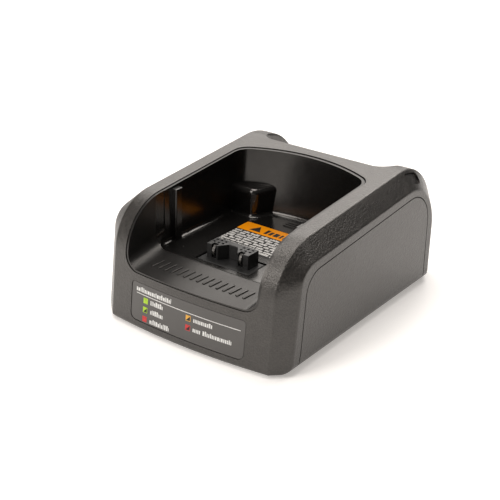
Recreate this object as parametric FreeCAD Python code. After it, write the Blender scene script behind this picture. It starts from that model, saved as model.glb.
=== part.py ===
import FreeCAD, Part
import math
import os
from FreeCAD import Vector

# Single-unit desktop charging cradle for a portable two-way radio.
# Bench frame used by every function: x across, y from the two front bottom corners towards
# the back, z up from the housing's underside.  save() moves each piece to the part's own frame,
# whose origin is on the table, under the middle of the housing.  Millimetres.

# Driving dimensions
body_width = 111.2
body_depth = 153.0
front_bow = 3.4              # how far the middle of the front stands ahead of its corners
wall = 2.4
fit_gap = 0.3                # between separate mouldings
foot_proud = 1.2

# Crown outline: the section between the two side chamfers
crown_half_width = 47.4
crown = {"front": 0.0, "front_lean": 5.4, "height": 58.2, "rise": 4.6,
         "rear": body_depth - front_bow, "rear_lean": 0.6, "radii": (27.0, 36.0)}
# Side outline: the flat side face, inside the chamfers
side_half_width = body_width / 2
side = {"front": 7.5, "front_lean": 6.5, "height": 50.1, "rise": 4.6,
        "rear": 137.9, "rear_lean": 0.6, "radii": (10.0, 28.0)}
# Cheek outline: the panel of the base that shows in each side face
cheek = {"front": 13.7, "front_lean": 4.6, "height": 45.3, "rise": 4.6,
         "rear": 132.8, "rear_lean": 2.0, "radii": (11.0, 19.0)}
cheek_flare = 5.0            # width of the flare at the foot of the cheek
cheek_gap = 0.55             # groove round the cheek
edge_round = 1.6             # along the edges between crown, chamfers and sides
sole_radius = 5.5            # round along the lowest outer edge of each side

# Radio pocket
opening_half_width = 39.9
liner_wall = 1.2
liner_gap = 0.15             # between the shell's edge and the liner
lip_height = 28.0            # shell's edge at the front of the pocket
lip_corner_radius = 8.4
plate_front_height = 29.3    # liner's surface at the front edge
plate_front_y = 3.2
well_front_y = 20.8          # where the ramped plate meets the floor
well_rear_y = 103.2
well_rear_lean = 6.0         # how much the back of the well leans over its height
well_draft = 0.8
floor_height = 31.9
floor_thickness = 2.0
floor_fillet = 2.4
rear_bow_radius = 81.0
corner_block_height = 15.6
corner_block_round = 5.0
corner_block_edge = 2.8
well_front_radius = 8.0
well_rear_radius = 9.0

# Notch between the two rear ears
notch_half_width = 38.5
notch_front_y = 112.3
notch_radius = 8.0

# Contact block
block_half_width = 15.7
block_front_y = 26.8
block_rear_y = 41.5
tower_outer_x = 12.6
tower_inner_x = 5.9          # at the front; the inner sides slant back to the bridge
tower_front_y = 31.0
tower_rear_y = 39.7
tower_top = 39.2
bridge_half_width = 2.4
bridge_front_y = 36.0
contact_x = 8.1
contact_slot_width = 2.9
contact_slot_depth = 2.4
strip_width = 1.3
strip_travel = 0.6
socket_pitch = 2.6           # the six square holes in the top of each tower
socket_width = 1.3
socket_front_y = 34.8

# Inside
board_bottom = 8.0
board_thickness = 1.6
board_top = board_bottom + board_thickness
floor_plate = 2.5
screw_radius = 1.45
housing_screw_spots = [(-45.2, 27.0), (45.2, 27.0), (-46.2, 127.0), (46.2, 127.0)]
foot_spots = [(-36.0, 13.0), (36.0, 13.0), (-46.2, 136.6), (46.2, 136.6)]
foot_radius = 4.8
foot_sink = 0.6              # depth of the seat that each foot is glued into
board_screw_spots = [(-33.0, 19.0), (33.0, 19.0), (-33.0, 101.0), (33.0, 101.0)]
contact_screw_x = 26.0
contact_screw_y = 34.0
contact_board_z = 26.4
jack_half_width = 4.7
jack_height = 11.0
jack_length = 13.6
plug_radius = 3.15           # bore for a 5.5 mm plug
plug_depth = 9.5
pin_radius = 1.0
choke = {"x": 22.0, "y": 86.0, "flange": 9.0, "core": 4.2, "wire": 7.9, "height": 10.0, "flange_thick": 1.6}
cans = [(-24.0, 88.0, 5.0, 16.0), (-12.5, 88.0, 5.0, 16.0), (-24.0, 62.0, 4.0, 11.5)]   # x, y, radius, height
chips = [(-14.0, 36.0, 5.0, 5.0), (-27.0, 42.0, 3.0, 2.0), (2.0, 66.0, 4.0, 2.5)]       # x, y, half sizes
chip_height = 1.7
transistor = {"x": (18.0, 28.0), "y": (52.0, 56.4), "height": 13.0}
sink = {"x": (11.0, 35.0), "y": (56.5, 58.7), "fin_end": 66.0, "fins": 8, "fin_thick": 1.3, "height": 18.0}
socket_half_width = 7.0
socket_y = (47.0, 52.0)
lower_socket_height = 5.0
upper_socket_height = 3.4
cable_half_width = 6.0
cable_y = (49.0, 50.0)
cable_bow = 3.0
led_spots = (-28.0, -26.0)
led_y = 17.0
led_height = 1.4

# Legend recess and light pipe in the front, notice on the pocket floor, slots on the ears
legend_outline = {"half_width": 34.3, "low": 4.0, "high": 24.0, "radii": (3.4, 3.4, 2.0, 2.0)}
legend_depth = 0.5
legend_gap = 0.3
pipe_x = (-29.0, -25.0)
pipe_z = (15.0, 18.5)
notice_low = (-22.4, 47.5)
notice_high = (22.4, 79.0)
notice_sink = 0.25
notice_gap = 0.2
ear_spot = Vector(51.2, 119.5, 62.9)
ear_normal = Vector(0.66, 0.16, 0.73)
ear_slot_length = 15.0
ear_slot_width = 6.6
ear_slot_depth = 2.0
ear_plug_sink = 0.8

far = 400.0
origin_shift = Vector(0, front_bow - body_depth / 2, foot_proud)


def save(name, shape):
    """Move a finished piece to the part's frame and write it."""
    piece = shape.copy()
    piece.translate(origin_shift)
    piece.exportStep(os.path.join("parts", name + ".step"))
    solids = piece.Solids
    good = all(solid.isValid() and solid.Volume > 0 for solid in solids)
    print(f"{name:22s} solids {len(solids)}  valid {good}  volume {piece.Volume:10.2f}")


def box(low, high):
    size = [high[i] - low[i] for i in range(3)]
    return Part.makeBox(size[0], size[1], size[2], Vector(*low))


def cylinder(x, y, low, high, radius):
    return Part.makeCylinder(radius, high - low, Vector(x, y, low))


def join(shapes):
    whole = shapes[0]
    for shape in shapes[1:]:
        whole = whole.fuse(shape)
    return whole.removeSplitter()


def on_side(x):
    """Lift (y, z) points into the plane X = x."""
    return lambda y, z: Vector(x, y, z)


def on_front(y):
    """Lift (x, z) points into the plane Y = y."""
    return lambda x, z: Vector(x, y, z)


def on_plan(z):
    """Lift (x, y) points into the plane Z = z."""
    return lambda x, y: Vector(x, y, z)


def rounded_wire(points, radii, lift):
    """Closed wire through the points, each corner rounded by its radius."""
    count = len(points)
    corners = []
    for i in range(count):
        here = Vector(*points[i], 0)
        back = (Vector(*points[i - 1], 0) - here).normalize()
        ahead = (Vector(*points[(i + 1) % count], 0) - here).normalize()
        half_angle = back.getAngle(ahead) / 2
        reach = radii[i] / math.tan(half_angle)
        middle = (back + ahead).normalize() * (radii[i] / math.sin(half_angle) - radii[i])
        corners.append((here + back * reach, here + middle, here + ahead * reach))
    edges = []
    for i in range(count):
        start, middle, end = [lift(p.x, p.y) for p in corners[i]]
        if radii[i] > 0:
            edges.append(Part.Arc(start, middle, end).toShape())
        following = corners[(i + 1) % count][0]
        edges.append(Part.LineSegment(end, lift(following.x, following.y)).toShape())
    return Part.Wire(edges)


def profile_wire(x, profile, inset, bottom, bow=0.0):
    """Rounded four-sided outline in the plane X = x, moved inwards by the inset."""
    lean = math.tan(math.radians(profile["front_lean"]))
    rise = math.tan(math.radians(profile["rise"]))
    fall = math.tan(math.radians(profile["rear_lean"]))
    front = profile["front"] - bow + inset * math.hypot(1, lean)
    height = profile["height"] - inset * math.hypot(1, rise)
    rear = profile["rear"] - inset * math.hypot(1, fall)
    front_top_y = (front + height * lean) / (1 - rise * lean)
    rear_top_y = (rear - height * fall) / (1 + rise * fall)
    points = [(front + bottom * lean, bottom),
              (front_top_y, height + front_top_y * rise),
              (rear_top_y, height + rear_top_y * rise),
              (rear - bottom * fall, bottom)]
    radii = [0, profile["radii"][0] - inset, profile["radii"][1] - inset, 0]
    return rounded_wire(points, radii, on_side(x))


def housing_form(inset, bottom=0.0):
    """Solid form of the whole housing, moved inwards by the inset, from the given height up."""
    crown_x = crown_half_width - 0.6 * inset
    side_x = side_half_width - inset
    sections = [profile_wire(-crown_x, crown, inset, bottom),
                profile_wire(0, crown, inset, bottom, front_bow),
                profile_wire(crown_x, crown, inset, bottom)]
    form = Part.makeLoft(sections, True, False)
    for end in (-1, 1):
        pair = [profile_wire(end * crown_x, crown, inset, bottom),
                profile_wire(end * side_x, side, inset, bottom)]
        form = form.fuse(Part.makeLoft(pair, True, True))
    return form.removeSplitter()


def well_plan(z, half_width, front_y, rear_y):
    """Plan outline of the pocket: straight front, round corners, back bowed rearwards."""
    corner = well_rear_radius
    bow_centre = rear_y - rear_bow_radius
    corner_x = half_width - corner
    corner_y = bow_centre + math.sqrt((rear_bow_radius - corner) ** 2 - corner_x ** 2)
    touch = Vector(corner_x, corner_y - bow_centre, 0).normalize()
    touch_x = touch.x * rear_bow_radius
    touch_y = bow_centre + touch.y * rear_bow_radius
    swing = (Vector(1, 0, 0) + touch).normalize() * corner
    inner = half_width - well_front_radius
    bend = well_front_radius * (1 - math.sqrt(0.5))
    turn_y = front_y + well_front_radius
    lift = on_plan(z)
    edges = [
        Part.LineSegment(lift(-inner, front_y), lift(inner, front_y)),
        Part.Arc(lift(inner, front_y), lift(half_width - bend, front_y + bend), lift(half_width, turn_y)),
        Part.LineSegment(lift(half_width, turn_y), lift(half_width, corner_y)),
        Part.Arc(lift(half_width, corner_y), lift(corner_x + swing.x, corner_y + swing.y),
                 lift(touch_x, touch_y)),
        Part.Arc(lift(touch_x, touch_y), lift(0, rear_y), lift(-touch_x, touch_y)),
        Part.Arc(lift(-touch_x, touch_y), lift(-corner_x - swing.x, corner_y + swing.y),
                 lift(-half_width, corner_y)),
        Part.LineSegment(lift(-half_width, corner_y), lift(-half_width, turn_y)),
        Part.Arc(lift(-half_width, turn_y), lift(bend - half_width, front_y + bend),
                 lift(-inner, front_y))]
    return Part.Wire([edge.toShape() for edge in edges])


def u_section(y, half_width, low, radius):
    """Front view of the channel into the pocket, open upwards to well above the housing."""
    high = 90.0
    points = [(-half_width, low), (half_width, low), (half_width, high), (-half_width, high)]
    return Part.Face(rounded_wire(points, [radius, radius, 0, 0], on_front(y)))


def channel(half_width, low, radius, start_y, end_y, climb):
    run = end_y - start_y
    return u_section(start_y, half_width, low, radius).extrude(Vector(0, run, run * climb))


def notch(grow=0.0):
    """Space between the rear ears, through the whole height."""
    half = notch_half_width + grow
    front = notch_front_y - grow
    points = [(-half, front), (half, front), (half, far), (-half, far)]
    face = Part.Face(rounded_wire(points, [notch_radius, notch_radius, 0, 0], on_plan(-10)))
    return face.extrude(Vector(0, 0, 120))


def cheek_outline(x, grow):
    """Inverted U of the side panel, flared at both ends of its foot."""
    return profile_wire(x, cheek, -grow, -1.0)


def cheek_prism(low_x, high_x, grow):
    panel = Part.Face(cheek_outline(low_x, grow)).extrude(Vector(high_x - low_x, 0, 0))
    lean = cheek["front"] - grow
    back = cheek["rear"] + grow
    reach = cheek_flare
    for foot, ahead in ((lean, -1), (back, 1)):
        corner = Vector(low_x, foot, -1)
        tip = Vector(low_x, foot + ahead * reach, -1)
        high = Vector(low_x, foot, reach + 2)
        middle = Vector(low_x, foot + ahead * reach * 0.25, reach * 0.32)
        inner = Vector(low_x, foot - ahead * 2, -1)
        inner_high = Vector(low_x, foot - ahead * 2, reach + 2)
        wire = Part.Wire([Part.Arc(tip, middle, high).toShape(),
                          Part.LineSegment(high, inner_high).toShape(),
                          Part.LineSegment(inner_high, inner).toShape(),
                          Part.LineSegment(inner, corner).toShape(),
                          Part.LineSegment(corner, tip).toShape()])
        panel = panel.fuse(Part.Face(wire).extrude(Vector(high_x - low_x, 0, 0)))
    return panel


def both_sides(shape):
    return shape.fuse(shape.mirror(Vector(0, 0, 0), Vector(1, 0, 0)))


def sole_cut():
    """What the round along the lowest outer edge of each side takes away."""
    centre_x = side_half_width - sole_radius
    block = box((centre_x, -20.0, -1.0), (centre_x + 20.0, body_depth + 20.0, sole_radius))
    round_bar = Part.makeCylinder(sole_radius, far, Vector(centre_x, -100.0, sole_radius), Vector(0, 1, 0))
    return both_sides(block.cut(round_bar))


def shell_outside():
    """Outer form of the top housing with its long edges softened."""
    form = housing_form(0).cut(notch()).cut(sole_cut())
    for edge_x in (crown_half_width, side_half_width):
        edges = [edge for edge in form.Edges
                 if abs(abs(edge.CenterOfMass.x) - edge_x) < 0.05 and edge.CenterOfMass.z > 8]
        form = form.makeFillet(edge_round, edges)
    rim = [edge for edge in form.Edges
           if abs(edge.CenterOfMass.y - notch_front_y) < 3 and edge.CenterOfMass.z > 64]
    return form.makeFillet(1.4, rim)


def pocket_opening():
    """What is cut from the top housing for the pocket: the well's mouth and the front channel."""
    mouth = Part.Face(well_plan(lip_height + lip_corner_radius, opening_half_width,
                                plate_front_y + 6, well_rear_y + liner_wall + liner_gap))
    mouth = mouth.extrude(Vector(0, 0, 80))
    front = channel(opening_half_width, lip_height, lip_corner_radius, -12.0, 26.0, 0.0)
    return mouth.fuse(front)


def legend_prism(shrink):
    half = legend_outline["half_width"] - shrink
    low = legend_outline["low"] + shrink
    high = legend_outline["high"] - shrink
    radii = [radius - shrink for radius in legend_outline["radii"]]
    points = [(-half, low), (half, low), (half, high), (-half, high)]
    return Part.Face(rounded_wire(points, radii, on_front(-10))).extrude(Vector(0, 20, 0))


def ear_slot(shrink, low, high):
    """Stadium-shaped prism standing on the right-hand ear's chamfer."""
    up = Vector(ear_normal).normalize()
    along = up.cross(Vector(1, 0, 0)).normalize()
    across = along.cross(up)
    radius = ear_slot_width / 2 - shrink
    half = (ear_slot_length - ear_slot_width) / 2
    centre = ear_spot + up * low
    ends = [centre + along * half, centre - along * half]
    near = [end + across * radius for end in ends]
    off = [end - across * radius for end in ends]
    wire = Part.Wire([Part.LineSegment(near[1], near[0]).toShape(),
                      Part.Arc(near[0], ends[0] + along * radius, off[0]).toShape(),
                      Part.LineSegment(off[0], off[1]).toShape(),
                      Part.Arc(off[1], ends[1] - along * radius, near[1]).toShape()])
    return Part.Face(wire).extrude(up * (high - low))


def top_housing():
    cavity = housing_form(wall, -5.0).cut(notch(wall))
    shell = shell_outside().cut(cavity)
    shell = shell.cut(pocket_opening())
    shell = shell.cut(both_sides(cheek_prism(side_half_width - 7, side_half_width + 7, cheek_gap)))
    skin = housing_form(0).cut(housing_form(legend_depth, -1.0))
    shell = shell.cut(legend_prism(0.0).common(skin))
    shell = shell.cut(box((pipe_x[0], -9, pipe_z[0]), (pipe_x[1], 8, pipe_z[1])))
    shell = shell.cut(both_sides(ear_slot(0.0, -ear_slot_depth, 6.0)))
    jack_z = board_top - fit_gap
    shell = shell.cut(box((-jack_half_width - fit_gap, 105, jack_z),
                          (jack_half_width + fit_gap, 118, jack_z + jack_height + 2 * fit_gap)))
    inside = housing_form(wall - 0.4, -1.0)
    for x, y in housing_screw_spots:
        boss = cylinder(x, y, 6.2, 64.0, 3.3).common(inside)
        shell = shell.fuse(boss)
        shell = shell.cut(cylinder(x, y, 0.0, 22.0, screw_radius + 0.05))
    return shell.removeSplitter()


def base_housing():
    cavity = housing_form(wall + fit_gap, -2.0)
    plate = cavity.common(box((-60, -20, 0), (60, 160, floor_plate)))
    plate = plate.cut(notch(wall + fit_gap))
    outside = housing_form(0)
    cheeks = cheek_prism(side_half_width - wall, side_half_width, 0.0).common(outside)
    flange = cheek_prism(side_half_width - wall - 1.3, side_half_width - wall + 0.2, 2.2)
    flange = flange.common(housing_form(wall + fit_gap))
    sides = both_sides(cheeks.fuse(flange))
    tie = box((side_half_width - wall - 2.6, cheek["front"] + 1, 0),
              (side_half_width - wall + 0.9, cheek["rear"] - 1, floor_plate)).common(outside)
    base = join([plate, sides, both_sides(tie)])
    for x, y in housing_screw_spots:
        boss = cylinder(x, y, 0.5, 6.0, 4.4).common(housing_form(wall + fit_gap))
        base = base.fuse(boss.cut(notch(wall + fit_gap)))
    for x, y in board_screw_spots:
        base = base.fuse(cylinder(x, y, 0.5, board_bottom, 3.0))
    for x, y in housing_screw_spots:
        base = base.cut(cylinder(x, y, -1, 3.6, 3.1))
        base = base.cut(cylinder(x, y, -1, 8.0, 1.75))
    for x, y in board_screw_spots:
        base = base.cut(cylinder(x, y, 3.2, 9.0, 1.25))
    for x, y in foot_spots:
        base = base.cut(cylinder(x, y, -1, foot_sink, foot_radius + 0.1))
    for row in range(7):
        y = 40.0 + 6.0 * row
        slot = box((12.0, y, -1), (34.0, y + 2.2, 5))
        base = base.cut(slot)
    base = base.cut(box((-36.0, 48.0, -1), (4.0, 76.0, 0.3)))
    return base.cut(sole_cut()).removeSplitter()


def rating_label():
    return box((-35.8, 48.2, 0.1), (3.8, 75.8, 0.3))


def rubber_feet():
    feet = []
    for x, y in foot_spots:
        foot = cylinder(x, y, -foot_proud, foot_sink, foot_radius)
        rim = [edge for edge in foot.Edges if edge.BoundBox.ZMax < 0]
        feet.append(foot.makeFillet(0.5, rim))
    return Part.makeCompound(feet)


def corner_block(inner):
    """Rounded block that stands in the pocket's right rear corner, its top dished."""
    plan = rounded_wire([(inner + 0.5, 84.4), (22.6, 84.4), (16.6, 99.5), (inner + 0.5, 99.5)],
                        [0, corner_block_round, 0, 0], on_plan(floor_height - 1))
    block = Part.Face(plan).extrude(Vector(0, 0, corner_block_height + 1))
    top = [edge for edge in block.Edges if edge.BoundBox.ZMin > floor_height + 10]
    top = [edge for edge in top if edge.BoundBox.YMin < 98 and edge.BoundBox.XMin < inner]
    return block.makeFillet(corner_block_edge, top)


def pocket_liner():
    """Glossy tub that lines the radio pocket, with ribs, rear corner blocks and screw bosses."""
    climb = (floor_height - plate_front_height) / (well_front_y - plate_front_y)
    drop = floor_thickness
    outer = opening_half_width - liner_gap
    inner = outer - liner_wall
    low_z = floor_height - drop
    lean_rate = well_rear_lean / (70.0 - floor_height)
    tub = Part.makeLoft([well_plan(low_z, outer - 0.2, well_front_y - 1.4,
                                   well_rear_y - well_rear_lean - drop * lean_rate + liner_wall),
                         well_plan(70.0, outer, well_front_y - 1.4, well_rear_y + liner_wall)],
                        True, True)
    front = channel(outer, lip_height + 0.25, lip_corner_radius - liner_gap, -10.0, plate_front_y + 3.0, 0.0)
    lower = channel(outer, lip_height + 0.25, lip_corner_radius - liner_gap, plate_front_y + 3.0,
                    well_front_y + 8.0, climb)
    solid = tub.fuse(front).fuse(lower).common(housing_form(fit_gap + 0.1))

    well = Part.makeLoft([well_plan(floor_height, inner - well_draft, well_front_y,
                                    well_rear_y - well_rear_lean),
                          well_plan(72.0, inner, well_front_y, well_rear_y)], True, True)
    blocks = both_sides(corner_block(inner))
    well = well.cut(blocks)
    rim = [edge for edge in well.Edges if edge.BoundBox.ZMax < floor_height + 0.1]
    well = well.makeFillet(floor_fillet, rim)
    start_y = -12.0
    start_z = plate_front_height + (start_y - plate_front_y) * climb
    passage = channel(inner, start_z, lip_corner_radius - liner_gap - liner_wall, start_y,
                      well_front_y + well_front_radius + 1.0, climb)
    liner = solid.cut(well).cut(passage)

    rib = box((inner - 3.0, 35.6, floor_height - 1), (inner + 0.6, 40.6, 59.4))
    rib = rib.makeFillet(0.7, [edge for edge in rib.Edges if edge.BoundBox.XMax < inner - 2])
    liner = liner.fuse(both_sides(rib).common(well.fuse(solid)))
    for row in range(3):
        y = 86.0 + 2.2 * row
        liner = liner.fuse(box((-5.0, y, floor_height - 0.5), (5.0, y + 1.0, floor_height + 0.5)))
    seat_z = floor_height - notice_sink
    liner = liner.cut(box((notice_low[0] - notice_gap, notice_low[1] - notice_gap, seat_z),
                          (notice_high[0] + notice_gap, notice_high[1] + notice_gap, floor_height + 1)))
    gap = 0.6
    liner = liner.cut(box((-block_half_width - gap, block_front_y - gap, 20),
                          (block_half_width + gap, block_rear_y + gap, 33)))
    for end in (-1, 1):
        boss = cylinder(end * contact_screw_x, contact_screw_y, contact_board_z + 1.5, low_z + 0.5, 3.0)
        liner = liner.fuse(boss)
        liner = liner.cut(cylinder(end * contact_screw_x, contact_screw_y, 20, 30.9, 1.0))
    return liner.removeSplitter()


def contact_block():
    """Block behind the pocket floor: two towers joined by a bridge, slots in front, holes on top."""
    plate_top = floor_height - 0.3
    seat = contact_board_z + 1.3
    plate = box((-block_half_width, block_front_y, seat), (block_half_width, block_rear_y, plate_top))
    plate = plate.makeChamfer(0.7, [edge for edge in plate.Edges if edge.BoundBox.ZMin > plate_top - 0.1])
    flange = box((-19.5, block_front_y - 2.2, seat), (19.5, block_rear_y + 2.2, seat + 1.9))
    half = [(bridge_half_width, bridge_front_y), (tower_inner_x, tower_front_y),
            (tower_outer_x, tower_front_y), (tower_outer_x, tower_rear_y)]
    plan = half + [(-x, y) for x, y in reversed(half)]
    towers = Part.Face(rounded_wire(plan, [0.35] * len(plan), on_plan(seat + 1)))
    towers = towers.extrude(Vector(0, 0, tower_top - seat - 1))
    towers = towers.makeFillet(0.35, [edge for edge in towers.Edges if edge.BoundBox.ZMin > tower_top - 0.1])
    block = join([plate, flange, towers])
    for x in (-contact_x, contact_x):
        reach = contact_slot_width / 2
        block = block.cut(box((x - reach, tower_front_y - 1, 32.2),
                              (x + reach, tower_front_y + contact_slot_depth, tower_top + 1)))
        for i in range(6):
            hole_x = x + (i % 3 - 1) * socket_pitch
            hole_y = socket_front_y + i // 3 * socket_pitch
            reach = socket_width / 2
            block = block.cut(box((hole_x - reach, hole_y - reach, tower_top - 3),
                                  (hole_x + reach, hole_y + reach, tower_top + 1)))
    return block.removeSplitter()


def contact_strip(x):
    """Bowed spring strip that stands in one slot and bulges out of the tower's front."""
    low_z = 32.7
    high_z = tower_top - 0.6
    middle = (low_z + high_z) / 2
    thick = 0.25
    ends_y = tower_front_y + 0.9
    crest_y = tower_front_y - strip_travel - 0.1
    lift = on_side(x - strip_width / 2)
    outer = Part.Arc(lift(ends_y, low_z), lift(crest_y, middle), lift(ends_y, high_z))
    inner = Part.Arc(lift(ends_y + thick, high_z), lift(crest_y + thick, middle),
                     lift(ends_y + thick, low_z))
    wire = Part.Wire([outer.toShape(),
                      Part.LineSegment(lift(ends_y, high_z), lift(ends_y + thick, high_z)).toShape(),
                      inner.toShape(),
                      Part.LineSegment(lift(ends_y + thick, low_z), lift(ends_y, low_z)).toShape()])
    return Part.Face(wire).extrude(Vector(strip_width, 0, 0))


def contact_board():
    board = box((-31.0, 24.5, contact_board_z), (31.0, 54.0, contact_board_z + 1.2))
    for end in (-1, 1):
        board = board.cut(cylinder(end * contact_screw_x, contact_screw_y, 20, 30, 1.2))
    return board


def pan_screw(x, y, head_low, head_high, head_radius, tip, radius):
    """Screw whose head lies between two heights and whose shank runs on to its tip."""
    head = cylinder(x, y, head_low, head_high, head_radius)
    below = tip < head_low
    outer_z = head_high if below else head_low
    flat = [edge for edge in head.Edges if edge.BoundBox.ZLength < 0.01]
    head = head.makeFillet(0.4, [edge for edge in flat if abs(edge.BoundBox.ZMin - outer_z) < 0.01])
    shank = cylinder(x, y, tip, head_low, radius) if below else cylinder(x, y, head_high, tip, radius)
    recess_low = head_high - 0.8 if below else head_low - 1
    recess_high = head_high + 1 if below else head_low + 0.8
    arm = head_radius * 0.6
    slot = box((x - arm, y - 0.3, recess_low), (x + arm, y + 0.3, recess_high))
    cross = box((x - 0.3, y - arm, recess_low), (x + 0.3, y + arm, recess_high))
    return head.fuse(shank).removeSplitter().cut(slot.fuse(cross))


def housing_screws():
    return Part.makeCompound([pan_screw(x, y, 1.6, 3.6, 2.8, 19.0, screw_radius)
                              for x, y in housing_screw_spots])


def board_screws():
    return Part.makeCompound([pan_screw(x, y, board_top, board_top + 1.7, 2.4, 3.6, 1.2)
                              for x, y in board_screw_spots])


def contact_screws():
    return Part.makeCompound([pan_screw(end * contact_screw_x, contact_screw_y, contact_board_z - 1.4,
                                        contact_board_z, 2.0, 30.6, 0.95) for end in (-1, 1)])


def main_board():
    board = box((-37.0, 14.0, board_bottom), (37.0, 109.0, board_top))
    for x, y in board_screw_spots:
        board = board.cut(cylinder(x, y, 0, 20, 1.4))
    return board


def dc_inlet():
    rear = notch_front_y - 0.2
    body = box((-jack_half_width, rear - jack_length, board_top),
               (jack_half_width, rear, board_top + jack_height))
    axis_z = board_top + jack_height / 2 + 0.2
    bore = Part.makeCylinder(plug_radius, plug_depth, Vector(0, rear + 0.1, axis_z), Vector(0, -1, 0))
    return body.cut(bore)


def dc_inlet_pin():
    rear = notch_front_y - 0.2
    axis_z = board_top + jack_height / 2 + 0.2
    root = Vector(0, rear + 0.1 - plug_depth, axis_z)
    pin = Part.makeCylinder(pin_radius, plug_depth - 1.5, root, Vector(0, 1, 0))
    return pin.makeFillet(0.5, [edge for edge in pin.Edges if edge.BoundBox.YMin > rear - 2])


def light_pipe():
    low = pipe_z[0] + 0.2
    high = pipe_z[1] - 0.2
    left = pipe_x[0] + 0.2
    right = pipe_x[1] - 0.2
    bar = box((left, -9, low), (right, 18.5, high)).common(housing_form(0.55))
    leg = box((left, 15.5, board_top + 1.7), (right, 18.5, low + 0.1))
    return bar.fuse(leg).removeSplitter()


def status_leds():
    half = 0.8
    return Part.makeCompound([box((x - half, led_y - half, board_top), (x + half, led_y + half,
                                                                        board_top + led_height))
                              for x in led_spots])


def legend_label():
    skin = housing_form(0.2).cut(housing_form(legend_depth, -1.0))
    return legend_prism(legend_gap).common(skin)


def pocket_label():
    plate = box((*notice_low, floor_height - notice_sink), (*notice_high, floor_height - 0.03))
    corners = [edge for edge in plate.Edges if edge.BoundBox.ZLength > 0.1]
    return plate.makeFillet(1.2, corners)


def ear_plugs():
    return both_sides(ear_slot(0.45, -ear_slot_depth, 6.0).common(housing_form(ear_plug_sink)))


def choke_core():
    x = choke["x"]
    y = choke["y"]
    top = board_top + choke["height"]
    flange = choke["flange_thick"]
    return join([cylinder(x, y, board_top, board_top + flange, choke["flange"]),
                 cylinder(x, y, board_top + flange, top - flange, choke["core"]),
                 cylinder(x, y, top - flange, top, choke["flange"])])


def choke_winding():
    low = board_top + choke["flange_thick"] + 0.2
    high = board_top + choke["height"] - choke["flange_thick"] - 0.2
    ring = cylinder(choke["x"], choke["y"], low, high, choke["wire"])
    return ring.cut(cylinder(choke["x"], choke["y"], low - 1, high + 1, choke["core"] + 0.1))


def capacitors():
    grooved = []
    for x, y, radius, height in cans:
        can = cylinder(x, y, board_top, board_top + height, radius)
        can = can.makeFillet(0.6, [edge for edge in can.Edges if edge.BoundBox.ZMin > board_top + 1])
        grooved.append(can.cut(Part.makeTorus(radius, 0.4, Vector(x, y, board_top + 2.0))))
    return Part.makeCompound(grooved)


def control_chips():
    bodies = []
    top = board_top + chip_height
    for x, y, half_x, half_y in chips:
        chip = box((x - half_x, y - half_y, board_top), (x + half_x, y + half_y, top))
        bodies.append(chip.makeChamfer(0.3, [edge for edge in chip.Edges if edge.BoundBox.ZMin > top - 0.1]))
    return Part.makeCompound(bodies)


def power_transistor():
    top = board_top + transistor["height"]
    left, right = transistor["x"]
    front, back = transistor["y"]
    body = box((left, front, board_top), (right, back, top))
    return body.makeChamfer(0.6, [edge for edge in body.Edges if edge.BoundBox.ZMin > top - 0.1])


def heat_sink():
    left, right = sink["x"]
    front, back = sink["y"]
    top = board_top + sink["height"]
    pitch = (right - left - sink["fin_thick"]) / (sink["fins"] - 1)
    plate = box((left, front, board_top), (right, back, top))
    fins = [box((left + pitch * i, back - 0.5, board_top), (left + pitch * i + sink["fin_thick"],
                                                            sink["fin_end"], top))
            for i in range(sink["fins"])]
    return join([plate] + fins)


def harness_sockets():
    """Matching sockets on the main board and under the contact board."""
    front, back = socket_y
    lower = box((-socket_half_width, front, board_top),
                (socket_half_width, back, board_top + lower_socket_height))
    upper = box((-socket_half_width, front, contact_board_z - upper_socket_height),
                (socket_half_width, back, contact_board_z))
    return Part.makeCompound([lower, upper])


def wire_harness():
    """Flat cable that bows forward between its two sockets."""
    low = board_top + lower_socket_height
    high = contact_board_z - upper_socket_height
    middle = (low + high) / 2
    front, back = cable_y
    lift = on_side(-cable_half_width)
    outer = Part.Arc(lift(front, low), lift(front - cable_bow, middle), lift(front, high))
    inner = Part.Arc(lift(back, high), lift(back - cable_bow, middle), lift(back, low))
    wire = Part.Wire([outer.toShape(),
                      Part.LineSegment(lift(front, high), lift(back, high)).toShape(),
                      inner.toShape(),
                      Part.LineSegment(lift(back, low), lift(front, low)).toShape()])
    return Part.Face(wire).extrude(Vector(2 * cable_half_width, 0, 0))


os.makedirs("parts", exist_ok=True)
for piece in (top_housing, base_housing, pocket_liner, legend_label, pocket_label, rating_label,
              rubber_feet, housing_screws, ear_plugs, dc_inlet, dc_inlet_pin, main_board, board_screws,
              choke_core, choke_winding, capacitors, control_chips, power_transistor, heat_sink,
              status_leds, light_pipe, contact_block, contact_board, contact_screws,
              harness_sockets, wire_harness):
    save(piece.__name__, piece())
for number, strip_x in enumerate((-contact_x, contact_x), 1):
    save(f"contact_strip_{number}", contact_strip(strip_x))
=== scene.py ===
import bpy
import math
import random
from mathutils import Matrix, Vector


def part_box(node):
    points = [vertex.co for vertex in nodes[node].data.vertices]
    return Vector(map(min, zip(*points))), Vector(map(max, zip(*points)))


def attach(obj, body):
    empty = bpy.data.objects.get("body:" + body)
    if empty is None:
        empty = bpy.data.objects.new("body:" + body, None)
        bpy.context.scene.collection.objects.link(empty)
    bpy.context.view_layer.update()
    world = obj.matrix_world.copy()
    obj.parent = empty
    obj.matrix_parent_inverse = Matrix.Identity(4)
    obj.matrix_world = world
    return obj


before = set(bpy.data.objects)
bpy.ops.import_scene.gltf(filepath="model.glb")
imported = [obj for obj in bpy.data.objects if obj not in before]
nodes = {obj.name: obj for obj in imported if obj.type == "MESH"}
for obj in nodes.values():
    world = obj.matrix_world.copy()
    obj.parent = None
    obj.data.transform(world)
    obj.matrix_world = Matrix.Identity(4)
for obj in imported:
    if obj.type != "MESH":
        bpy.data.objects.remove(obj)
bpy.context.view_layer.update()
mm = 0.001
housing = "housing"
print("frame loaded with", len(nodes), "parts")


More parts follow.
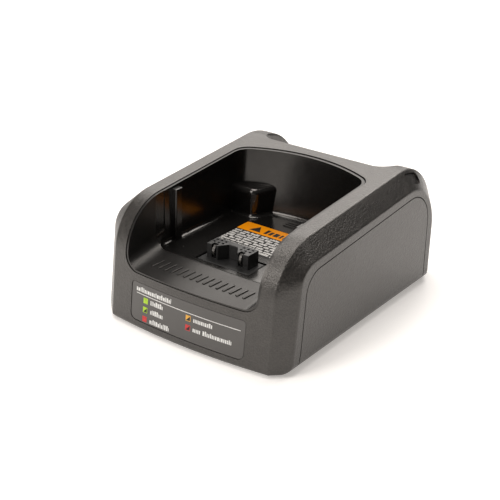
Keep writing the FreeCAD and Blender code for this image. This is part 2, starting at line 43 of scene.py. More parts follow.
# A socket in a material.  Sums on it add Math nodes, add() makes any other node.
class Signal:
    def __init__(self, tree, socket=None):
        self.tree = tree
        self.socket = socket

    def add(self, kind, settings, inputs, out=0):
        made = self.tree.nodes.new("ShaderNode" + kind)
        for name, value in settings.items():
            setattr(made, name, value)
        for key, value in inputs.items():
            if isinstance(value, Signal):
                self.tree.links.new(value.socket, made.inputs[key])
            elif isinstance(value, tuple) and made.inputs[key].type == "RGBA":
                made.inputs[key].default_value = (*value, 1.0)
            else:
                made.inputs[key].default_value = value
        return Signal(self.tree, made.outputs[out])

    def maths(self, operation, first, second=0.0):
        return self.add("Math", {"operation": operation}, {0: first, 1: second})

    def __add__(self, other):
        return self.maths("ADD", self, other)

    def __radd__(self, other):
        return self.maths("ADD", other, self)

    def __sub__(self, other):
        return self.maths("SUBTRACT", self, other)

    def __rsub__(self, other):
        return self.maths("SUBTRACT", other, self)

    def __mul__(self, other):
        return self.maths("MULTIPLY", self, other)

    def __rmul__(self, other):
        return self.maths("MULTIPLY", other, self)

    def __truediv__(self, other):
        return self.maths("DIVIDE", self, other)

    def __gt__(self, other):
        return self.maths("GREATER_THAN", self, other)

    def __lt__(self, other):
        return self.maths("LESS_THAN", self, other)

    def __mod__(self, other):
        return self.maths("FLOORED_MODULO", self, other)

    def __abs__(self):
        return self.maths("ABSOLUTE", self)


def startMaterial(name, **fixed):
    # new material, its shader with the even values set, and the object's own coordinates
    material = bpy.data.materials.new(name)
    material.use_nodes = True
    shader = material.node_tree.nodes["Principled BSDF"]
    for socket, value in fixed.items():
        shader.inputs[socket.replace("_", " ")].default_value = value
    place = Signal(material.node_tree).add("TexCoord", {}, {}, "Object")
    return material, shader, place


def wire(shader, place, **varying):
    for socket, signal in varying.items():
        place.tree.links.new(signal.socket, shader.inputs[socket.replace("_", " ")])


def noise(place, scale, detail=2.0, rough=0.5):
    return place.add("TexNoise", {}, {"Vector": place, "Scale": scale, "Detail": detail, "Roughness": rough})


def streaks(place, stretch, detail=2.0, rough=0.5):
    # noise with its own scale along each axis, so that a small scale draws it out
    return noise(place.add("Mapping", {}, {0: place, 3: stretch}), 1.0, detail, rough)


def cells(place, scale):
    return place.add("TexVoronoi", {}, {"Vector": place, "Scale": scale})


def axes(place):
    split = place.add("SeparateXYZ", {}, {0: place})
    parts = split.socket.node.outputs
    return [Signal(place.tree, parts[i]) for i in range(3)]


def spread(signal, low, high, newLow=0.0, newHigh=1.0):
    return signal.add("MapRange", {}, {0: signal, 1: low, 2: high, 3: newLow, 4: newHigh})


def tint(mask, plain, marked):
    return mask.add("Mix", {"data_type": "RGBA"}, {0: mask, 6: plain, 7: marked}, 2)


def bump(height, distance):
    return height.add("Bump", {}, {"Height": height, "Distance": distance, "Strength": 1.0})


def grey(value, warm=0.0):
    return (value * (1 + warm), value, value * (1 - warm))


# In a look, a noise is its scale, detail and roughness, and a range is where its spread starts and ends.
shellLook = {
    "gloss": 0.85, "dark": grey(0.003, 0.10), "light": grey(0.026, 0.10),
    "rough": 0.34, "mottleRough": 0.14, "patchRough": 0.12,
    "grain": (1500.0, 3.0, 0.65), "grainDepth": 0.16 * mm, "cellScale": 900.0, "cellShare": 0.5,
    "mottle": (240.0, 4.0, 0.6), "patches": (28.0, 3.0, 0.55),
    "toneShares": (0.55, 0.3, 0.15), "toneRange": (0.38, 0.62)}
warmGloss = (1.0, 0.965, 0.93, 1.0)


def shellPlastic():
    # spark-eroded charcoal: fine pits, a mottle a few millimetres across, a little handling polish
    look = shellLook
    material, shader, place = startMaterial("shell_plastic", Specular_IOR_Level=look["gloss"],
                                            Specular_Tint=warmGloss)
    pits = noise(place, *look["grain"])
    mottle = noise(place, *look["mottle"])
    patches = noise(place, *look["patches"])
    pitShare, mottleShare, patchShare = look["toneShares"]
    tone = spread(pits * pitShare + mottle * mottleShare + patches * patchShare, *look["toneRange"])
    rough = look["rough"] + (mottle - 0.5) * look["mottleRough"] + (patches - 0.5) * look["patchRough"]
    height = pits + cells(place, look["cellScale"]) * look["cellShare"]
    wire(shader, place, Base_Color=tint(tone, look["dark"], look["light"]), Roughness=rough,
         Normal=bump(height, look["grainDepth"]))
    return material


linerLook = {
    "gloss": 0.7, "dark": grey(0.0055, 0.05), "dust": grey(0.10, 0.08),
    "tubRough": 0.21, "plateRough": 0.34, "rimRough": 0.42, "smearRough": 0.16, "dustRough": 0.3,
    "plateEnd": 23.8 * mm, "plateBlend": 0.6 * mm, "rimAbove": 26.0 * mm, "rimFacing": 0.9,
    "smear": (55.0, 4.0, 0.6), "grain": (1900.0, 2.0, 0.6), "grainDepth": 0.03 * mm,
    "tubGrain": 0.1, "plateGrain": 0.9,
    "dustCells": 260.0, "dustSize": 0.045, "dustPatches": 90.0, "dustAbove": 0.56,
    "film": (700.0, 3.0, 0.7), "filmRange": (0.55, 0.8), "filmMost": 0.25, "filmShare": 0.06}


def linerPlastic():
    # polished black tub; the ramped plate at its front is satin, and a little dust lies in it
    look = linerLook
    material, shader, place = startMaterial("liner_plastic", Specular_IOR_Level=look["gloss"],
                                            Specular_Tint=warmGloss)
    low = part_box("pocket_liner")[0]
    plateBack = low[1] + look["plateEnd"]
    y, z = axes(place)[1:]
    plate = spread(y, plateBack - look["plateBlend"], plateBack + look["plateBlend"], 1.0, 0.0)
    smear = noise(place, *look["smear"])
    fine = noise(place, *look["grain"])
    specks = cells(place, look["dustCells"]) < look["dustSize"]
    dust = specks * (noise(place, look["dustPatches"]) > look["dustAbove"])
    film = spread(noise(place, *look["film"]), *look["filmRange"], 0.0, look["filmMost"])
    upward = axes(place.add("NewGeometry", {}, {}, "Normal"))[2]
    rim = (upward > look["rimFacing"]) * (z > low[2] + look["rimAbove"])
    rough = look["tubRough"] + (smear - 0.5) * look["smearRough"]
    rough = rough + plate * (look["plateRough"] - look["tubRough"])
    rough = rough + rim * (look["rimRough"] - look["tubRough"])
    wire(shader, place, Base_Color=tint(dust + film * look["filmShare"], look["dark"], look["dust"]),
         Roughness=rough + dust * look["dustRough"],
         Normal=bump(fine * (plate * look["plateGrain"] + look["tubGrain"]), look["grainDepth"]))
    return material


legendLook = {
    "gloss": 1.0, "dark": grey(0.026, 0.02), "light": grey(0.036, 0.02), "rough": 0.36, "cloudRough": 0.1,
    "grain": (900.0, 2.0, 0.5), "grainDepth": 0.012 * mm, "cloud": (60.0, 3.0), "cloudRange": (0.3, 0.7)}


def legendFilm():
    look = legendLook
    material, shader, place = startMaterial("legend_film", Specular_IOR_Level=look["gloss"],
                                            Specular_Tint=warmGloss)
    film = noise(place, *look["grain"])
    cloud = noise(place, *look["cloud"])
    wire(shader, place, Base_Color=tint(spread(cloud, *look["cloudRange"]), look["dark"], look["light"]),
         Roughness=look["rough"] + (cloud - 0.5) * look["cloudRough"], Normal=bump(film, look["grainDepth"]))
    return material


noticeLook = {
    "gloss": 0.2, "band": (0.70, 0.235, 0.001), "worn": (0.60, 0.19, 0.002), "field": grey(0.008),
    "bandDepth": 10.0 * mm, "rough": 0.34, "fadeRough": 0.12,
    "fade": (120.0, 3.0), "fadeRange": (0.3, 0.7), "fadeMost": 0.12,
    "grain": (2600.0, 1.0), "grainDepth": 0.006 * mm}


def noticeFilm():
    # one printed sheet: an orange band along its back edge, black in front of it
    look = noticeLook
    material, shader, place = startMaterial("notice_film", Specular_IOR_Level=look["gloss"])
    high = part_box("pocket_label")[1]
    y = axes(place)[1]
    fade = noise(place, *look["fade"])
    ink = noise(place, *look["grain"])
    band = y > high[1] - look["bandDepth"]
    paper = tint(spread(fade, *look["fadeRange"], 0.0, look["fadeMost"]), look["band"], look["worn"])
    wire(shader, place, Base_Color=tint(band, look["field"], paper),
         Roughness=look["rough"] + (fade - 0.5) * look["fadeRough"], Normal=bump(ink, look["grainDepth"]))
    return material


inkLook = {"gloss": 0.4, "rough": 0.45, "coverRough": 0.08, "cover": (1400.0, 2.0, 0.6),
           "coverRange": (0.35, 0.6), "thin": 0.72}


def printInk(name, colour):
    # screen-printed ink with a slightly uneven cover
    look = inkLook
    material, shader, place = startMaterial(name, Specular_IOR_Level=look["gloss"])
    cover = spread(noise(place, *look["cover"]), *look["coverRange"])
    thin = tuple(channel * look["thin"] for channel in colour)
    wire(shader, place, Base_Color=tint(cover, thin, colour),
         Roughness=look["rough"] + (cover - 0.5) * look["coverRough"])
    return material


ratingLook = {
    "metal": 0.6, "gloss": 0.5, "dark": (0.50, 0.51, 0.52), "light": (0.66, 0.67, 0.68),
    "rough": 0.28, "brushRough": 0.2, "brush": ((40.0, 2600.0, 40.0), 3.0, 0.6), "brushDepth": 0.01 * mm}


def ratingFilm():
    look = ratingLook
    material, shader, place = startMaterial("rating_film", Metallic=look["metal"],
                                            Specular_IOR_Level=look["gloss"])
    brush = streaks(place, *look["brush"])
    wire(shader, place, Base_Color=tint(brush, look["dark"], look["light"]),
         Roughness=look["rough"] + brush * look["brushRough"], Normal=bump(brush, look["brushDepth"]))
    return material


rubberLook = {
    "gloss": 0.35, "dark": grey(0.014), "scuffed": grey(0.055, 0.05), "rough": 0.72, "scuffRough": 0.15,
    "grain": (1700.0, 4.0, 0.7), "grainDepth": 0.06 * mm, "scuff": (320.0, 3.0), "scuffRange": (0.55, 0.75)}


def footRubber():
    look = rubberLook
    material, shader, place = startMaterial("foot_rubber", Specular_IOR_Level=look["gloss"])
    grain = noise(place, *look["grain"])
    scuff = spread(noise(place, *look["scuff"]), *look["scuffRange"])
    wire(shader, place, Base_Color=tint(scuff, look["dark"], look["scuffed"]),
         Roughness=look["rough"] + scuff * look["scuffRough"], Normal=bump(grain, look["grainDepth"]))
    return material


steelLook = {"spots": (700.0, 3.0), "spotRange": (0.5, 0.7), "spotRough": 0.18,
             "lines": ((500.0, 500.0, 9000.0), 2.0), "lineDepth": 0.008 * mm}


def platedSteel(name, bright, dark, rough):
    # plated steel with fine machining lines and a few dull spots
    look = steelLook
    material, shader, place = startMaterial(name, Metallic=1.0)
    spots = spread(noise(place, *look["spots"]), *look["spotRange"])
    lines = streaks(place, *look["lines"])
    wire(shader, place, Base_Color=tint(spots, bright, dark), Roughness=rough + spots * look["spotRough"],
         Normal=bump(lines, look["lineDepth"]))
    return material


nylonLook = {"gloss": 0.5, "fibre": ((4200.0, 900.0, 2400.0), 3.0, 0.6), "fibreRange": (0.45, 0.75),
             "fibreDepth": 0.02 * mm, "cloud": (260.0, 3.0), "cloudRough": 0.16}


def nylon(name, dark, light, rough):
    # glass-filled moulding: short pale fibres under a semi-matt skin
    look = nylonLook
    material, shader, place = startMaterial(name, Specular_IOR_Level=look["gloss"])
    fibre = streaks(place, *look["fibre"])
    cloud = noise(place, *look["cloud"])
    wire(shader, place, Base_Color=tint(spread(fibre, *look["fibreRange"]), dark, light),
         Roughness=rough + (cloud - 0.5) * look["cloudRough"], Normal=bump(fibre, look["fibreDepth"]))
    return material


boardLook = {
    "gloss": 0.5, "mask": (0.008, 0.085, 0.030), "track": (0.020, 0.19, 0.065), "pad": (0.72, 0.70, 0.66),
    "rough": 0.32, "weaveRough": 0.12, "weave": (1500.0, 300.0, 300.0), "weaveShare": 0.2,
    "depth": 0.03 * mm, "tracks": {"offset": 0.37, "squash": 1.6, "squash_frequency": 3},
    "trackScale": 95.0, "trackWidth": 0.045, "brickTone": grey(0.25),
    "padPitch": 2.54 * mm, "padReach": 0.42 * mm, "padPatches": 130.0, "padAbove": 0.53}


def boardLaminate():
    # green solder mask over copper tracks, with plated pads on a 2.54 mm grid
    look = boardLook
    material, shader, place = startMaterial("board_laminate", Specular_IOR_Level=look["gloss"])
    x, y = axes(place)[:2]
    tracks = place.add("TexBrick", look["tracks"],
                       {"Vector": place, "Scale": look["trackScale"], "Mortar Size": look["trackWidth"],
                        "Color1": grey(0.0), "Color2": look["brickTone"], "Mortar": grey(1.0)})
    pitch = look["padPitch"]
    padX = abs(x % pitch - pitch / 2) < look["padReach"]
    padY = abs(y % pitch - pitch / 2) < look["padReach"]
    pads = padX * padY * (noise(place, look["padPatches"]) > look["padAbove"])
    weave = streaks(place, look["weave"])
    mask = tint(tracks, look["mask"], look["track"])
    wire(shader, place, Base_Color=tint(pads, mask, look["pad"]), Metallic=pads,
         Roughness=look["rough"] + weave * look["weaveRough"],
         Normal=bump(tracks + weave * look["weaveShare"], look["depth"]))
    return material


ferriteLook = {
    "gloss": 0.5, "dark": grey(0.045), "chipped": grey(0.15), "rough": 0.62, "chipPolish": 0.2,
    "grit": (2100.0, 4.0, 0.7), "chips": (380.0, 4.0, 0.7), "chipRange": (0.60, 0.72), "chipDip": 0.6,
    "depth": 0.06 * mm}


def ferrite():
    look = ferriteLook
    material, shader, place = startMaterial("ferrite", Specular_IOR_Level=look["gloss"])
    grit = noise(place, *look["grit"])
    chips = spread(noise(place, *look["chips"]), *look["chipRange"])
    wire(shader, place, Base_Color=tint(chips, look["dark"], look["chipped"]),
         Roughness=look["rough"] - chips * look["chipPolish"],
         Normal=bump(grit - chips * look["chipDip"], look["depth"]))
    return material


copperLook = {"coatRough": 0.1, "dark": (0.62, 0.20, 0.055), "light": (0.86, 0.40, 0.16), "rough": 0.24,
              "driftRough": 0.16, "drift": (420.0, 3.0), "grain": 2400.0, "grainDepth": 0.01 * mm}


def enamelledCopper():
    look = copperLook
    material, shader, place = startMaterial("copper_wire", Metallic=1.0, Coat_Roughness=look["coatRough"])
    drift = noise(place, *look["drift"])
    wire(shader, place, Base_Color=tint(drift, look["dark"], look["light"]),
         Roughness=look["rough"] + drift * look["driftRough"],
         Normal=bump(noise(place, look["grain"]), look["grainDepth"]))
    return material


sleeveLook = {
    "gloss": 0.55, "sleeve": (0.012, 0.020, 0.055), "stripe": (0.52, 0.54, 0.56), "can": (0.74, 0.75, 0.76),
    "stripeFacing": -0.86, "stripeBelow": 0.5, "canFacing": 0.97, "rough": 0.26, "shrinkRough": 0.16,
    "shrink": ((400.0, 400.0, 2600.0), 3.0), "shrinkDepth": 0.02 * mm}


def capacitorSleeve():
    # dark shrink sleeve with a pale polarity stripe; the bare can shows on the flat of its top
    look = sleeveLook
    material, shader, place = startMaterial("capacitor_sleeve", Specular_IOR_Level=look["gloss"])
    sideways, upward = axes(place.add("NewGeometry", {}, {}, "Normal"))[1:]
    stripe = (sideways < look["stripeFacing"]) * (upward < look["stripeBelow"])
    can = upward > look["canFacing"]
    shrink = streaks(place, *look["shrink"])
    sleeve = tint(stripe, look["sleeve"], look["stripe"])
    wire(shader, place, Base_Color=tint(can, sleeve, look["can"]), Metallic=can,
         Roughness=look["rough"] + shrink * look["shrinkRough"], Normal=bump(shrink, look["shrinkDepth"]))
    return material


epoxyLook = {
    "gloss": 0.4, "dark": grey(0.016), "etched": grey(0.11), "rough": 0.55, "gritRough": 0.2,
    "grit": (2600.0, 3.0, 0.65), "gritDepth": 0.02 * mm,
    "linePitch": 1.1 * mm, "lineReach": 0.13 * mm, "linePatches": 1100.0, "lineAbove": 0.5}


def mouldedEpoxy():
    # matt black moulding with broken etched lines, no letters
    look = epoxyLook
    material, shader, place = startMaterial("chip_epoxy", Specular_IOR_Level=look["gloss"])
    y = axes(place)[1]
    grit = noise(place, *look["grit"])
    lines = abs(y % look["linePitch"] - look["linePitch"] / 2) < look["lineReach"]
    etched = lines * (noise(place, look["linePatches"]) > look["lineAbove"])
    wire(shader, place, Base_Color=tint(etched, look["dark"], look["etched"]),
         Roughness=look["rough"] + grit * look["gritRough"], Normal=bump(grit, look["gritDepth"]))
    return material


sinkLook = {"dark": (0.62, 0.63, 0.64), "light": (0.76, 0.77, 0.78), "rough": 0.30, "lineRough": 0.22,
            "lines": ((3200.0, 3200.0, 60.0), 3.0, 0.6), "lineDepth": 0.03 * mm, "haze": (140.0, 3.0)}


def extrudedAluminium():
    look = sinkLook
    material, shader, place = startMaterial("sink_aluminium", Metallic=1.0)
    lines = streaks(place, *look["lines"])
    haze = noise(place, *look["haze"])
    wire(shader, place, Base_Color=tint(haze, look["dark"], look["light"]),
         Roughness=look["rough"] + lines * look["lineRough"], Normal=bump(lines, look["lineDepth"]))
    return material


clearLook = {"clear": 0.9, "ior": 1.49, "deep": 0.82, "flow": (260.0, 3.0), "flowRough": 0.06,
             "flowDepth": 0.02 * mm}


def clearMoulding(name, colour, rough):
    look = clearLook
    material, shader, place = startMaterial(name, Transmission_Weight=look["clear"], IOR=look["ior"])
    flow = noise(place, *look["flow"])
    deep = tuple(channel * look["deep"] for channel in colour)
    wire(shader, place, Base_Color=tint(flow, deep, colour), Roughness=rough + flow * look["flowRough"],
         Normal=bump(flow, look["flowDepth"]))
    return material


contactLook = {
    "dull": (0.13, 0.125, 0.12), "rubbed": (0.26, 0.25, 0.235), "crestReach": 1.3 * mm, "rough": 0.30,
    "crestPolish": 0.12, "scratchRough": 0.12, "scratches": ((6000.0, 900.0, 500.0), 2.0),
    "scratchDepth": 0.012 * mm}


def contactNickel():
    # black nickel, rubbed brighter and scratched across the crest that the battery slides on
    look = contactLook
    material, shader, place = startMaterial("contact_metal", Metallic=1.0)
    low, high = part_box("contact_strip_1")
    z = axes(place)[2]
    crest = spread(abs(z - (low[2] + high[2]) / 2), 0.0, look["crestReach"], 1.0, 0.0)
    scratches = streaks(place, *look["scratches"])
    rough = look["rough"] - crest * look["crestPolish"] + scratches * look["scratchRough"]
    wire(shader, place, Base_Color=tint(crest, look["dull"], look["rubbed"]), Roughness=rough,
         Normal=bump(scratches, look["scratchDepth"]))
    return material


cableLook = {
    "gloss": 0.4, "cores": 6, "skin": (0.30, 0.31, 0.33), "marked": (0.55, 0.03, 0.02), "rough": 0.48,
    "gritRough": 0.1, "grit": (1500.0, 2.0), "gritShare": 0.1, "grooveShare": 4.0, "depth": 0.12 * mm}


def flatCable():
    # cores side by side under a grey skin, the first one marked red
    look = cableLook
    material, shader, place = startMaterial("cable_pvc", Specular_IOR_Level=look["gloss"])
    low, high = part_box("wire_harness")
    x = axes(place)[0]
    core = (high[0] - low[0]) / look["cores"]
    across = abs((x - low[0]) % core - core / 2) / (core / 2)
    first = x < low[0] + core
    grit = noise(place, *look["grit"])
    wire(shader, place, Base_Color=tint(first, look["skin"], look["marked"]),
         Roughness=look["rough"] + grit * look["gritRough"],
         Normal=bump(grit * look["gritShare"] - across * across * look["grooveShare"], look["depth"]))
    return material


finishes = {
    "top_housing": shellPlastic(),
    "pocket_liner": linerPlastic(),
    "legend_label": legendFilm(),
    "pocket_label": noticeFilm(),
    "rating_label": ratingFilm(),
    "rubber_feet": footRubber(),
    "dc_inlet": nylon("inlet_nylon", dark=grey(0.010), light=grey(0.022), rough=0.34),
    "dc_inlet_pin": platedSteel("pin_nickel", bright=(0.74, 0.72, 0.68), dark=(0.52, 0.49, 0.44), rough=0.16),
    "main_board": boardLaminate(),
    "choke_core": ferrite(),
    "choke_winding": enamelledCopper(),
    "capacitors": capacitorSleeve(),
    "control_chips": mouldedEpoxy(),
    "heat_sink": extrudedAluminium(),
    "status_leds": clearMoulding("led_resin", colour=(0.90, 0.90, 0.82), rough=0.10),
    "light_pipe": clearMoulding("pipe_clear", colour=(0.93, 0.95, 0.94), rough=0.04),
    "contact_block": nylon("block_nylon", dark=grey(0.009), light=grey(0.024), rough=0.36),
    "harness_sockets": nylon("socket_nylon", dark=(0.62, 0.58, 0.47), light=(0.76, 0.72, 0.62), rough=0.46),
    "wire_harness": flatCable()}
plated = platedSteel("screw_steel", bright=(0.56, 0.56, 0.58), dark=(0.34, 0.33, 0.30), rough=0.30)
for screws in ("housing_screws", "board_screws", "contact_screws"):
    finishes[screws] = plated
finishes["base_housing"] = finishes["ear_plugs"] = finishes["top_housing"]
finishes["contact_board"] = finishes["main_board"]
finishes["power_transistor"] = finishes["control_chips"]
blackNickel = contactNickel()
for name in nodes:
    if name.startswith("contact_strip"):
        finishes[name] = blackNickel
for name, part in nodes.items():
    part.data.materials.clear()
    part.data.materials.append(finishes[name])
print("finishes on", len(finishes), "parts")


def clearSelection():
    bpy.ops.object.select_all(action="DESELECT")


def surfaceAt(node, start, direction):
    # where a straight line first meets a part, and the way that spot faces
    return nodes[node].ray_cast(Vector(start), Vector(direction))[1:3]


def settle(piece, name, material):
    # apply the piece's place, name it and let it ride with the housing
    clearSelection()
    piece.select_set(True)
    bpy.context.view_layer.objects.active = piece
    bpy.ops.object.transform_apply(location=True, rotation=True, scale=True)
    piece.name = piece.data.name = name
    piece.data.materials.clear()
    piece.data.materials.append(material)
    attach(piece, housing)
    return piece


def copyAt(template, matrix):
    twin = template.copy()
    twin.data = template.data.copy()
    twin.data.transform(matrix)
    bpy.context.scene.collection.objects.link(twin)
    return twin


def joinAll(pieces):
    clearSelection()
    for piece in pieces:
        piece.select_set(True)
    bpy.context.view_layer.objects.active = pieces[0]
    bpy.ops.object.join()
    return bpy.context.view_layer.objects.active


def applyAll(piece):
    clearSelection()
    piece.select_set(True)
    bpy.context.view_layer.objects.active = piece
    for modifier in list(piece.modifiers):
        bpy.ops.object.modifier_apply(modifier=modifier.name)


def dashTemplate(cuts):
    # one printed bar, 1 by 1, cut across so that it can follow a bowed face
    clearSelection()
    bpy.ops.mesh.primitive_plane_add(size=1.0)
    bar = bpy.context.object
    bpy.ops.object.mode_set(mode="EDIT")
    bpy.ops.mesh.select_all(action="SELECT")
    if cuts:
        bpy.ops.mesh.subdivide(number_cuts=cuts)
    bpy.ops.object.mode_set(mode="OBJECT")
    return bar


def triangleTemplate(corners):
    # a flat triangle with the given corners, from a three-sided circle
    clearSelection()
    bpy.ops.mesh.primitive_circle_add(vertices=3, radius=1.0, fill_type="NGON")
    piece = bpy.context.object
    for vertex, corner in zip(piece.data.vertices, corners):
        vertex.co = (corner[0], corner[1], 0.0)
    return piece


inkThickness = 0.03 * mm


def layInk(name, material, pieces, target=None):
    # join the marks, lay them on a bowed part if one is given, and give the ink its thickness
    piece = joinAll(pieces)
    if target:
        wrap = piece.modifiers.new("Wrap", "SHRINKWRAP")
        wrap.target = nodes[target]
        wrap.wrap_method = "PROJECT"
        wrap.use_project_y = True
        wrap.use_positive_direction = True
        wrap.use_negative_direction = False
    thick = piece.modifiers.new("Thick", "SOLIDIFY")
    thick.thickness = inkThickness
    thick.offset = 1.0
    applyAll(piece)
    return settle(piece, name, material)


strokeWidths = (0.7, 1.0, 1.0, 1.5)
strokeHeights = (0.72, 0.72, 1.0, 0.72, 0.9)


def greeking(chance, left, right, base, height, stroke, gap):
    # a word made of plain strokes: no letter shapes, only their rhythm
    marks = []
    x = left
    while x < right - stroke / 2:
        wide = stroke * chance.choice(strokeWidths)
        tall = height * chance.choice(strokeHeights)
        wide = min(wide, right - x)
        marks.append((x + wide / 2, base + tall / 2, wide, tall))
        x += wide + gap
    return marks


# The panel on the front, in millimetres: a heading with a rule under it, five coloured keys and their captions.
# A heading or caption is its left, right, base and height; a key is its place, colour and whether it is halved.
legendPrint = {
    "seed": 7, "baseBelow": 4.15, "standOff": 5.0, "barCuts": 1, "ruleCuts": 28,
    "heading": (-31.0, -8.5, 19.4, 2.5), "headingStroke": 0.825, "rule": (-30.8, 31.6, 18.3, 0.36),
    "key": 2.9, "halfKey": ((-0.40, -0.40), (0.40, -0.40), (0.40, 0.40)), "halfForward": 0.02,
    "captions": ((-21.4, -12.9, 14.6, 2.5), (-21.2, -13.2, 9.9, 2.5), (-21.4, -8.9, 5.0, 2.5),
                 (5.4, 16.9, 14.5, 2.5), (5.4, 9.8, 9.7, 2.5), (11.2, 27.4, 9.7, 2.5)),
    "keys": ((-24.6, 15.7, "green", False), (-24.7, 11.0, "green", True), (-24.8, 6.2, "red", False),
             (2.3, 15.7, "amber", True), (2.4, 10.9, "red", True)),
    "stroke": 0.66, "gap": 0.32}
inks = {"white": (0.80, 0.80, 0.78), "green": (0.42, 0.66, 0.03), "red": (0.60, 0.035, 0.035),
        "amber": (0.80, 0.42, 0.06), "black": (0.010, 0.010, 0.010), "noticeWhite": (0.58, 0.57, 0.55)}


def frontMark(template, x, z, width, height):
    # stands a flat mark in front of the panel, facing forward, ready to be laid on it
    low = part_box("legend_label")[0]
    base = low[2] - legendPrint["baseBelow"] * mm
    place = Matrix.Translation((x * mm, low[1] - legendPrint["standOff"] * mm, base + z * mm))
    turn = Matrix.Rotation(math.pi / 2, 4, "X")
    return copyAt(template, place @ turn @ Matrix.Diagonal((width * mm, height * mm, 1.0, 1.0)))


def printLegend():
    chance = random.Random(legendPrint["seed"])
    bar = dashTemplate(legendPrint["barCuts"])
    rule = dashTemplate(legendPrint["ruleCuts"])
    half = triangleTemplate(legendPrint["halfKey"])
    strokes = greeking(chance, *legendPrint["heading"], legendPrint["headingStroke"], legendPrint["gap"])
    for caption in legendPrint["captions"]:
        strokes += greeking(chance, *caption, legendPrint["stroke"], legendPrint["gap"])
    white = [frontMark(bar, *mark) for mark in strokes]
    left, right, z, height = legendPrint["rule"]
    white.append(frontMark(rule, (left + right) / 2, z, right - left, height))
    byColour = {"green": [], "red": [], "amber": []}
    corners = []
    for x, z, colour, halved in legendPrint["keys"]:
        byColour[colour].append(frontMark(bar, x, z, legendPrint["key"], legendPrint["key"]))
        if halved:
            corners.append(frontMark(half, x, z, legendPrint["key"], legendPrint["key"]))
    layInk("legend_print_white", printInk("ink_white", inks["white"]), white, "legend_label")
    for colour, marks in byColour.items():
        layInk("legend_print_" + colour, printInk("ink_" + colour, inks[colour]), marks,
               "legend_label")
    dark = layInk("legend_print_black", printInk("ink_black", inks["black"]), corners,
                  "legend_label")
    dark.data.transform(Matrix.Translation((0, -legendPrint["halfForward"] * mm, 0)))
    for template in (bar, rule, half):
        bpy.data.objects.remove(template)


# The notice on the pocket floor, in millimetres; the title is its left, right and height.
noticePrint = {
    "seed": 19, "rows": 8, "firstRow": 1.6, "pitch": 2.45, "height": 1.95, "side": 0.6, "ragged": 5.0,
    "stroke": 0.8, "gap": 0.16, "word": (2.5, 6.5), "shortest": 1.5, "space": 0.8,
    "triangleX": -12.6, "triangle": 6.8, "peak": ((-0.5, -0.45), (0.5, -0.45), (0.0, 0.45)),
    "title": (-7.2, 17.0, 5.6), "titleStroke": 1.9, "titleGap": 0.9}


def floorMark(template, x, y, z, width, height):
    # lays a flat mark on the notice; its size and its place across are in millimetres
    place = Matrix.Translation((x * mm, y, z))
    return copyAt(template, place @ Matrix.Diagonal((width * mm, height * mm, 1.0, 1.0)))


def printNotice():
    # rows of plain strokes on the black field, a plain triangle and bars on the orange band
    chance = random.Random(noticePrint["seed"])
    low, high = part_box("pocket_label")
    bar = dashTemplate(0)
    peak = triangleTemplate(noticePrint["peak"])
    white = []
    for row in range(noticePrint["rows"]):
        y = low[1] + (noticePrint["firstRow"] + row * noticePrint["pitch"]) * mm
        x = low[0] / mm + noticePrint["side"]
        end = high[0] / mm - noticePrint["side"] - chance.uniform(0.0, noticePrint["ragged"])
        while x < end - noticePrint["shortest"]:
            word = min(chance.uniform(*noticePrint["word"]), end - x)
            strokes = greeking(chance, x, x + word, 0.0, noticePrint["height"], noticePrint["stroke"],
                               noticePrint["gap"])
            white += [floorMark(bar, across, y + up * mm, high[2], wide, tall)
                      for across, up, wide, tall in strokes]
            x += word + noticePrint["space"]
    bandMiddle = high[1] - noticeLook["bandDepth"] / 2
    size = noticePrint["triangle"]
    black = [floorMark(peak, noticePrint["triangleX"], bandMiddle, high[2], size, size)]
    left, right, height = noticePrint["title"]
    strokes = greeking(chance, left, right, -height / 2, height, noticePrint["titleStroke"],
                       noticePrint["titleGap"])
    black += [floorMark(bar, across, bandMiddle + up * mm, high[2], wide, tall)
              for across, up, wide, tall in strokes]
    layInk("notice_print_white", printInk("notice_white", inks["noticeWhite"]), white)
    layInk("notice_print_black", printInk("notice_black", inks["black"]), black)
    bpy.data.objects.remove(bar)
    bpy.data.objects.remove(peak)


printLegend()
printNotice()
print("print laid on the front panel and the notice")


# Raised grip ribs across the satin plate at the front of the pocket, in millimetres and degrees.
gripRibs = {"count": 15, "pitch": 3.9, "length": 7.2, "width": 1.5, "height": 0.42, "fromFront": 12.0,
            "slant": 14.0, "round": 0.36, "roundSteps": 4, "smoothBelow": 35.0, "probeAbove": 10.0}


def addGripRibs():
    low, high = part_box("pocket_liner")
    middle = low[1] + gripRibs["fromFront"] * mm
    above = (0.0, middle, high[2] + gripRibs["probeAbove"] * mm)
    plate, facing = surfaceAt("pocket_liner", above, (0, 0, -1))
    tilt = Matrix.Rotation(math.atan2(-facing.y, facing.z), 4, "X")
    lean = Matrix.Rotation(math.radians(-gripRibs["slant"]), 4, "Z")
    clearSelection()
    bpy.ops.mesh.primitive_cube_add(size=1.0)
    rib = bpy.context.object
    bpy.ops.object.mode_set(mode="EDIT")
    bpy.ops.mesh.select_all(action="SELECT")
    size = (gripRibs["width"] * mm, gripRibs["length"] * mm, gripRibs["height"] * 2 * mm)
    bpy.ops.transform.resize(value=size)
    bpy.ops.object.mode_set(mode="OBJECT")
    soft = rib.modifiers.new("Soft", "BEVEL")
    soft.width = gripRibs["round"] * mm
    soft.segments = gripRibs["roundSteps"]
    applyAll(rib)
    ribs = []
    for i in range(gripRibs["count"]):
        x = (i - (gripRibs["count"] - 1) / 2) * gripRibs["pitch"] * mm
        ribs.append(copyAt(rib, Matrix.Translation((x, middle, plate.z)) @ tilt @ lean))
    bpy.data.objects.remove(rib)
    piece = joinAll(ribs)
    bpy.ops.object.shade_smooth_by_angle(angle=math.radians(gripRibs["smoothBelow"]))
    settle(piece, "grip_ribs", finishes["pocket_liner"])


addGripRibs()
print("grip ribs on the plate")


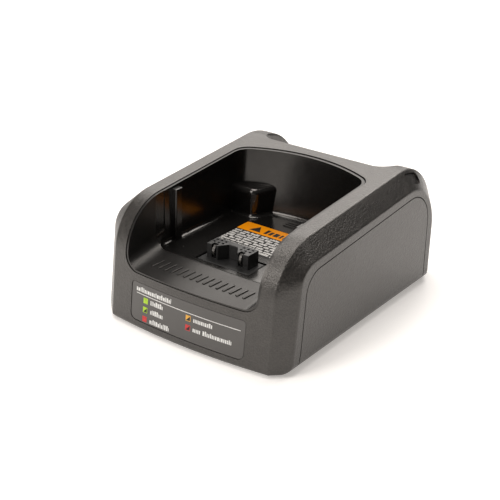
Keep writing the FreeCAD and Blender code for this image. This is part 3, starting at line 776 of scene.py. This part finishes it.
stageFloor = {"reach": 6.0, "tone": grey(0.86, 0.004), "shade": 0.985, "gloss": 0.2, "rough": 0.85,
              "cloud": (1.5, 2.0), "cloudRough": 0.05, "glow": 0.37, "glowTone": (1.0, 0.95, 0.905)}


def addFloor():
    clearSelection()
    bpy.ops.mesh.primitive_plane_add(size=stageFloor["reach"] * 2)
    floor = bpy.context.object
    floor.name = "stage_floor"
    material, shader, place = startMaterial("stage_paper", Specular_IOR_Level=stageFloor["gloss"],
                                            Emission_Color=(*stageFloor["glowTone"], 1.0),
                                            Emission_Strength=stageFloor["glow"])
    cloud = noise(place, *stageFloor["cloud"])
    shade = tuple(channel * stageFloor["shade"] for channel in stageFloor["tone"])
    wire(shader, place, Base_Color=tint(cloud, shade, stageFloor["tone"]),
         Roughness=stageFloor["rough"] + cloud * stageFloor["cloudRough"])
    floor.data.materials.append(material)


view = {"azimuth": 34.544, "elevation": 24.603, "roll": 2.071, "place": (0.2933, -0.4352, 0.2646),
        "lens": 80.43, "sensor": 36.0, "shift": (-0.032, 0.002), "nearest": 0.01}


def addCamera():
    turn = math.radians(view["azimuth"])
    lift = math.radians(view["elevation"])
    roll = math.radians(view["roll"])
    back = Vector((math.sin(turn) * math.cos(lift), -math.cos(turn) * math.cos(lift), math.sin(lift)))
    right = Vector((math.cos(turn), math.sin(turn), 0.0))
    up = back.cross(right)
    rolledRight = right * math.cos(roll) + up * math.sin(roll)
    rolledUp = up * math.cos(roll) - right * math.sin(roll)
    bpy.ops.object.camera_add()
    camera = bpy.context.object
    facing = Matrix((rolledRight, rolledUp, back)).transposed().to_4x4()
    camera.matrix_world = Matrix.Translation(view["place"]) @ facing
    camera.data.lens = view["lens"]
    camera.data.sensor_width = view["sensor"]
    camera.data.shift_x, camera.data.shift_y = view["shift"]
    camera.data.clip_start = view["nearest"]
    bpy.context.scene.camera = camera


lamps = {"back_left": {"toward": (-0.515, 0.673, 0.531), "away": 1.25, "size": (1.25, 0.8), "glow": 2.5},
         "overhead": {"toward": (-0.15, -0.02, 0.99), "away": 1.15, "size": (0.70, 0.70), "glow": 5.4},
         "behind": {"toward": (0.05, 0.62, 0.78), "away": 1.2, "size": (0.80, 0.32), "glow": 6.5},
         "front": {"toward": (-0.28, -0.78, 0.56), "away": 1.2, "size": (0.42, 0.75), "glow": 6.8}}
lampTone = (1.0, 0.955, 0.91)
roomGlow = {"colour": (1.0, 0.965, 0.94), "strength": 0.10}


def addLight():
    for name, lamp in lamps.items():
        toward = Vector(lamp["toward"]).normalized()
        bpy.ops.object.light_add(type="AREA", location=toward * lamp["away"])
        light = bpy.context.object
        light.name = name
        light.rotation_euler = toward.to_track_quat("Z", "Y").to_euler()
        light.data.shape = "RECTANGLE"
        light.data.size, light.data.size_y = lamp["size"]
        light.data.color = lampTone
        light.data.energy = lamp["glow"] * math.pi * lamp["size"][0] * lamp["size"][1]
    world = bpy.data.worlds.new("room")
    bpy.context.scene.world = world
    world.use_nodes = True
    glow = world.node_tree.nodes["Background"]
    glow.inputs["Color"].default_value = (*roomGlow["colour"], 1.0)
    glow.inputs["Strength"].default_value = roomGlow["strength"]
    bpy.context.scene.view_settings.view_transform = "Standard"


addFloor()
addCamera()
addLight()
print("stage, camera and light set")
